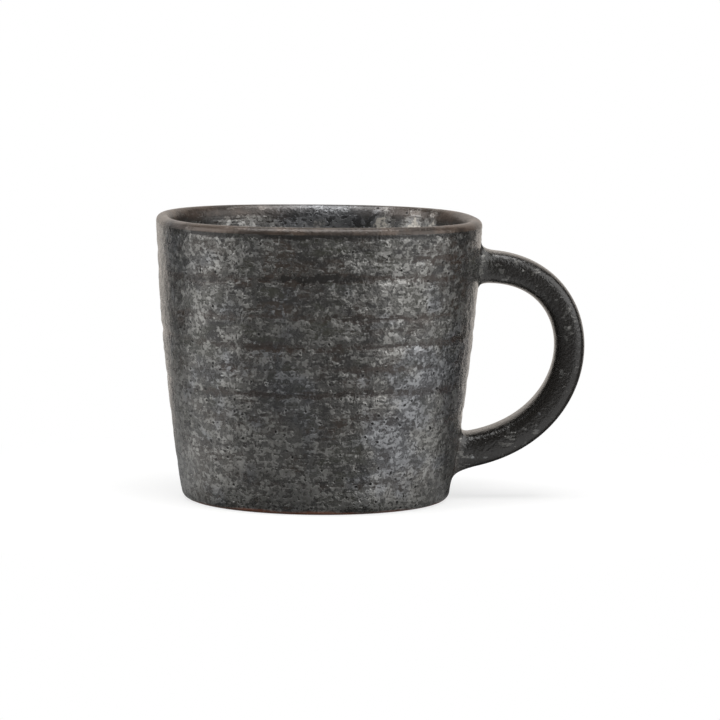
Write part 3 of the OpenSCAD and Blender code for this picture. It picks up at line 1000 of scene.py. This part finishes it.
camera_data = bpy.data.cameras.new("camera")
camera_data.sensor_width = SENSOR_MM
camera_data.lens = SENSOR_MM * LENS_PX / PHOTO_PX
camera_data.clip_start = 0.01
camera = bpy.data.objects.new("camera", camera_data)
camera.matrix_world = Matrix.Translation(aim + back * VIEW_DISTANCE) @ Matrix((
    turned_right, turned_up, back)).transposed().to_4x4()
bpy.context.collection.objects.link(camera)
bpy.context.scene.camera = camera
print("lens:", round(camera_data.lens, 1), "mm at", round(VIEW_DISTANCE, 3), "m")

# %% [markdown]
# ## Floor, backdrop and light
# The photograph is a cut-out on white, lit by two soft boxes at the sides and one above, with a
# bright backdrop that only grazing reflections see. The gaps between them are what draws the dark
# upright bands beside the bright edges, so the boxes and the backdrop are placed to leave those
# gaps. The floor is plain and pale, and keeps the cup's soft shadow. What the cup mirrors of the
# floor is kept in the floor's mesh: bright under the boxes and the backdrop, dark in the gaps, and
# a little warm under the backdrop, as the edges of the cup are in the photograph.


# %% Floor and backdrop
WHITE = srgb("ffffff")
WARM_REFLECTION_TINT = srgb("fff6ed")   # painted warm reflection: only what mirrors it sees it, and it warms the cup's edges
FLOOR_PAPER = srgb("f6f6f5")  # white matt paper: holds the soft shadow
EDGE_SOFT = 8                 # degrees


def sheet_of_rings(name, profile, start, end, columns):
    """A sheet turned about Z: profile rows of (radius, height), over angles start to end."""
    turn = np.linspace(start, end, columns)
    radius, level = profile[:, 0, None], profile[:, 1, None]
    grid = np.stack([
        radius * np.cos(turn), radius * np.sin(turn), level + 0 * turn,
    ], axis=2)
    index = np.arange(grid.shape[0] * columns).reshape(grid.shape[0], columns)
    faces = np.stack([index[:-1, :-1], index[1:, :-1], index[1:, 1:], index[:-1, 1:]], axis=2)
    mesh = bpy.data.meshes.new(name)
    mesh.from_pydata(grid.reshape(-1, 3).tolist(), [], faces.reshape(-1, 4).tolist())
    mesh.update()
    sheet = bpy.data.objects.new(name, mesh)
    bpy.context.collection.objects.link(sheet)
    sheet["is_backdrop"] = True
    return sheet


def seen_directly(tree):
    """1 for rays from the camera, a mirror-like surface or glass, 0 for the soft light."""
    path = add(tree, "ShaderNodeLightPath")
    seen = math_node(tree, "MAXIMUM", path.outputs["Is Camera Ray"], path.outputs["Is Glossy Ray"])
    return math_node(tree, "MAXIMUM", seen, path.outputs["Is Transmission Ray"])


def mirrored_warm(tree, share=1.0):
    """White to the camera, and by that share warm to whatever mirrors it."""
    path = add(tree, "ShaderNodeLightPath")
    return blend_colour(tree, times(tree, share, path.outputs["Is Glossy Ray"]), WHITE, WARM_REFLECTION_TINT)


def pale_floor():
    """White matt paper near the cup, plain white further off, and what the cup mirrors below."""
    material, output = new_material("white_paper_floor")
    tree = material.node_tree
    place = add(tree, "ShaderNodeTexCoord").outputs["Object"]
    distance = add(tree, "ShaderNodeVectorMath", {0: place}, operation="LENGTH").outputs["Value"]
    path = add(tree, "ShaderNodeLightPath")
    mirrored = add(tree, "ShaderNodeAttribute", attribute_name="mirrored").outputs["Fac"]
    warm = add(tree, "ShaderNodeAttribute", attribute_name="warm").outputs["Fac"]
    level = {0: path.outputs["Is Glossy Ray"], 2: 1.0, 3: mirrored}
    level = add(tree, "ShaderNodeMix", level).outputs[0]
    plain = times(tree, ramp(tree, distance, 0.03, 0.1, 0.7, 1.0), seen_directly(tree))
    plain = math_node(tree, "MAXIMUM", plain, path.outputs["Is Glossy Ray"])
    paper = add(tree, "ShaderNodeBsdfDiffuse", {"Color": FLOOR_PAPER})
    white = add(tree, "ShaderNodeEmission", {"Color": mirrored_warm(tree, warm), "Strength": level})
    shader = add(tree, "ShaderNodeMixShader", {0: plain, 1: paper.outputs[0], 2: white.outputs[0]})
    tree.links.new(shader.outputs[0], output.inputs[0])
    return material


def white_backdrop():
    """White to whatever looks straight at it, a little warm where mirrored, and no lamp itself."""
    material, output = new_material("white_backdrop_paper")
    tree = material.node_tree
    glow = {"Color": mirrored_warm(tree), "Strength": seen_directly(tree)}
    white = add(tree, "ShaderNodeEmission", glow)
    tree.links.new(white.outputs[0], output.inputs[0])
    return material


def between(x, start, end):
    """1 between two angles in degrees, with an edge that is EDGE_SOFT soft on both sides."""
    opens = smooth(start - EDGE_SOFT, start + EDGE_SOFT, x)
    return opens * (1 - smooth(end - EDGE_SOFT, end + EDGE_SOFT, x))


FLOOR_R = 3.0
BACKDROP_R = 1.4
BACKDROP_H = 1.6
BACKDROP_LIFT = 1 * MM
# Degrees round the cup from the camera's side, to the right. The backdrop passes behind it, so it
# is also written one turn back.
LEFT_BOX = (-107, -48)
RIGHT_BOX = (27, 88)
BACKDROP = (139, 213)
BACKDROP_AGAIN = (BACKDROP[0] - 360, BACKDROP[1] - 360)
# How bright the cup mirrors the floor, as a share of white.
DIM_MIRROR = 0.06
FRONT_MIRROR = 0.2
NEAR_LEFT_MIRROR = 0.35
front = math.radians(-90) + VIEW_AZIMUTH
# Radii on the floor, in metres: never mirrored, under the foot, clear of the foot, near the cup.
HIDDEN, UNDER_FOOT, CLEAR, NEAR = 0.02, 0.026, 0.045, 0.3
floor_radii = np.array([0, UNDER_FOOT, CLEAR, NEAR, 1.0, FLOOR_R])
floor_profile = np.stack([floor_radii, 0 * floor_radii], axis=1)
floor = sheet_of_rings("floor", floor_profile, front - math.pi, front + math.pi, 181)
floor.data.materials.append(pale_floor())
turn = np.linspace(-180, 180, 181)
mirrored = DIM_MIRROR + FRONT_MIRROR * between(turn, LEFT_BOX[1], RIGHT_BOX[0])
for start, end in (LEFT_BOX, RIGHT_BOX, BACKDROP, BACKDROP_AGAIN):
    mirrored = np.maximum(mirrored, between(turn, start, end))
near = smooth(NEAR, CLEAR, floor_radii)[:, None]
near_left = between(turn, BACKDROP_AGAIN[1], LEFT_BOX[0]) * near
mirrored = np.maximum(mirrored, NEAR_LEFT_MIRROR * near_left)
mirrored = mirrored * smooth(HIDDEN, CLEAR, floor_radii)[:, None]
warm = between(turn, *BACKDROP) + between(turn, *BACKDROP_AGAIN)
keep_mark(floor.data, "mirrored", mirrored)
keep_mark(floor.data, "warm", warm * np.ones(mirrored.shape))
backdrop_profile = np.array([(BACKDROP_R, BACKDROP_LIFT), (BACKDROP_R, BACKDROP_H)])
backdrop_turn = front + np.radians(BACKDROP)
backdrop = sheet_of_rings("backdrop", backdrop_profile, *backdrop_turn, 65)
backdrop.data.materials.append(white_backdrop())
print("floor and backdrop:", len(floor.data.polygons) + len(backdrop.data.polygons), "faces")


# %% Lights
BOX_DISTANCE = 1.3
BOX_ELEVATION = 24
ROOM_LIGHT = 0.07


def soft_box(name, azimuth, elevation, size, watts):
    """A rectangular lamp that looks at the cup. Azimuth is from the camera's side, to the right."""
    a = VIEW_AZIMUTH + math.radians(azimuth)
    e = math.radians(elevation)
    away = Vector((math.sin(a) * math.cos(e), -math.cos(a) * math.cos(e), math.sin(e)))
    data = bpy.data.lights.new(name, "AREA")
    data.shape = "RECTANGLE"
    data.size, data.size_y = size
    data.energy = watts
    lamp = bpy.data.objects.new(name, data)
    lamp.location = away * BOX_DISTANCE + Vector((0, 0, CUP_H / 2))
    lamp.rotation_mode = "QUATERNION"
    lamp.rotation_quaternion = away.to_track_quat("Z", "Y")
    lamp.visible_camera = False
    bpy.context.collection.objects.link(lamp)
    return lamp


soft_box("box_left", sum(LEFT_BOX) / 2, BOX_ELEVATION, (1.4, 1.1), 12.5)
soft_box("box_right", sum(RIGHT_BOX) / 2, BOX_ELEVATION, (1.5, 1.1), 14)
soft_box("box_above", 0, 83, (1.1, 1.1), 22)

world = bpy.data.worlds.new("studio")
world.use_nodes = True
world.node_tree.nodes.clear()
tree = world.node_tree
path = add(tree, "ShaderNodeLightPath")
room = math_node(tree, "MAXIMUM", path.outputs["Is Camera Ray"], path.outputs["Is Transmission Ray"])
sky = add(tree, "ShaderNodeBackground", {"Strength": ramp(tree, room, 0.0, 1.0, ROOM_LIGHT, 1.0)})
add(tree, "ShaderNodeOutputWorld", {0: sky.outputs[0]})
bpy.context.scene.world = world
bpy.context.scene.view_settings.view_transform = "Standard"

# %% [markdown]
# ## Check the size
# The dressed cup must fill the same box as the measured one, so the difference between the two
# boxes is printed, in millimetres.

# %% Write the sizes and finish
visual_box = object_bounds()
growth = (np.array(visual_box) - np.array(cad_box)) / MM
print("grown by, in mm:", np.round(growth, 2).tolist())
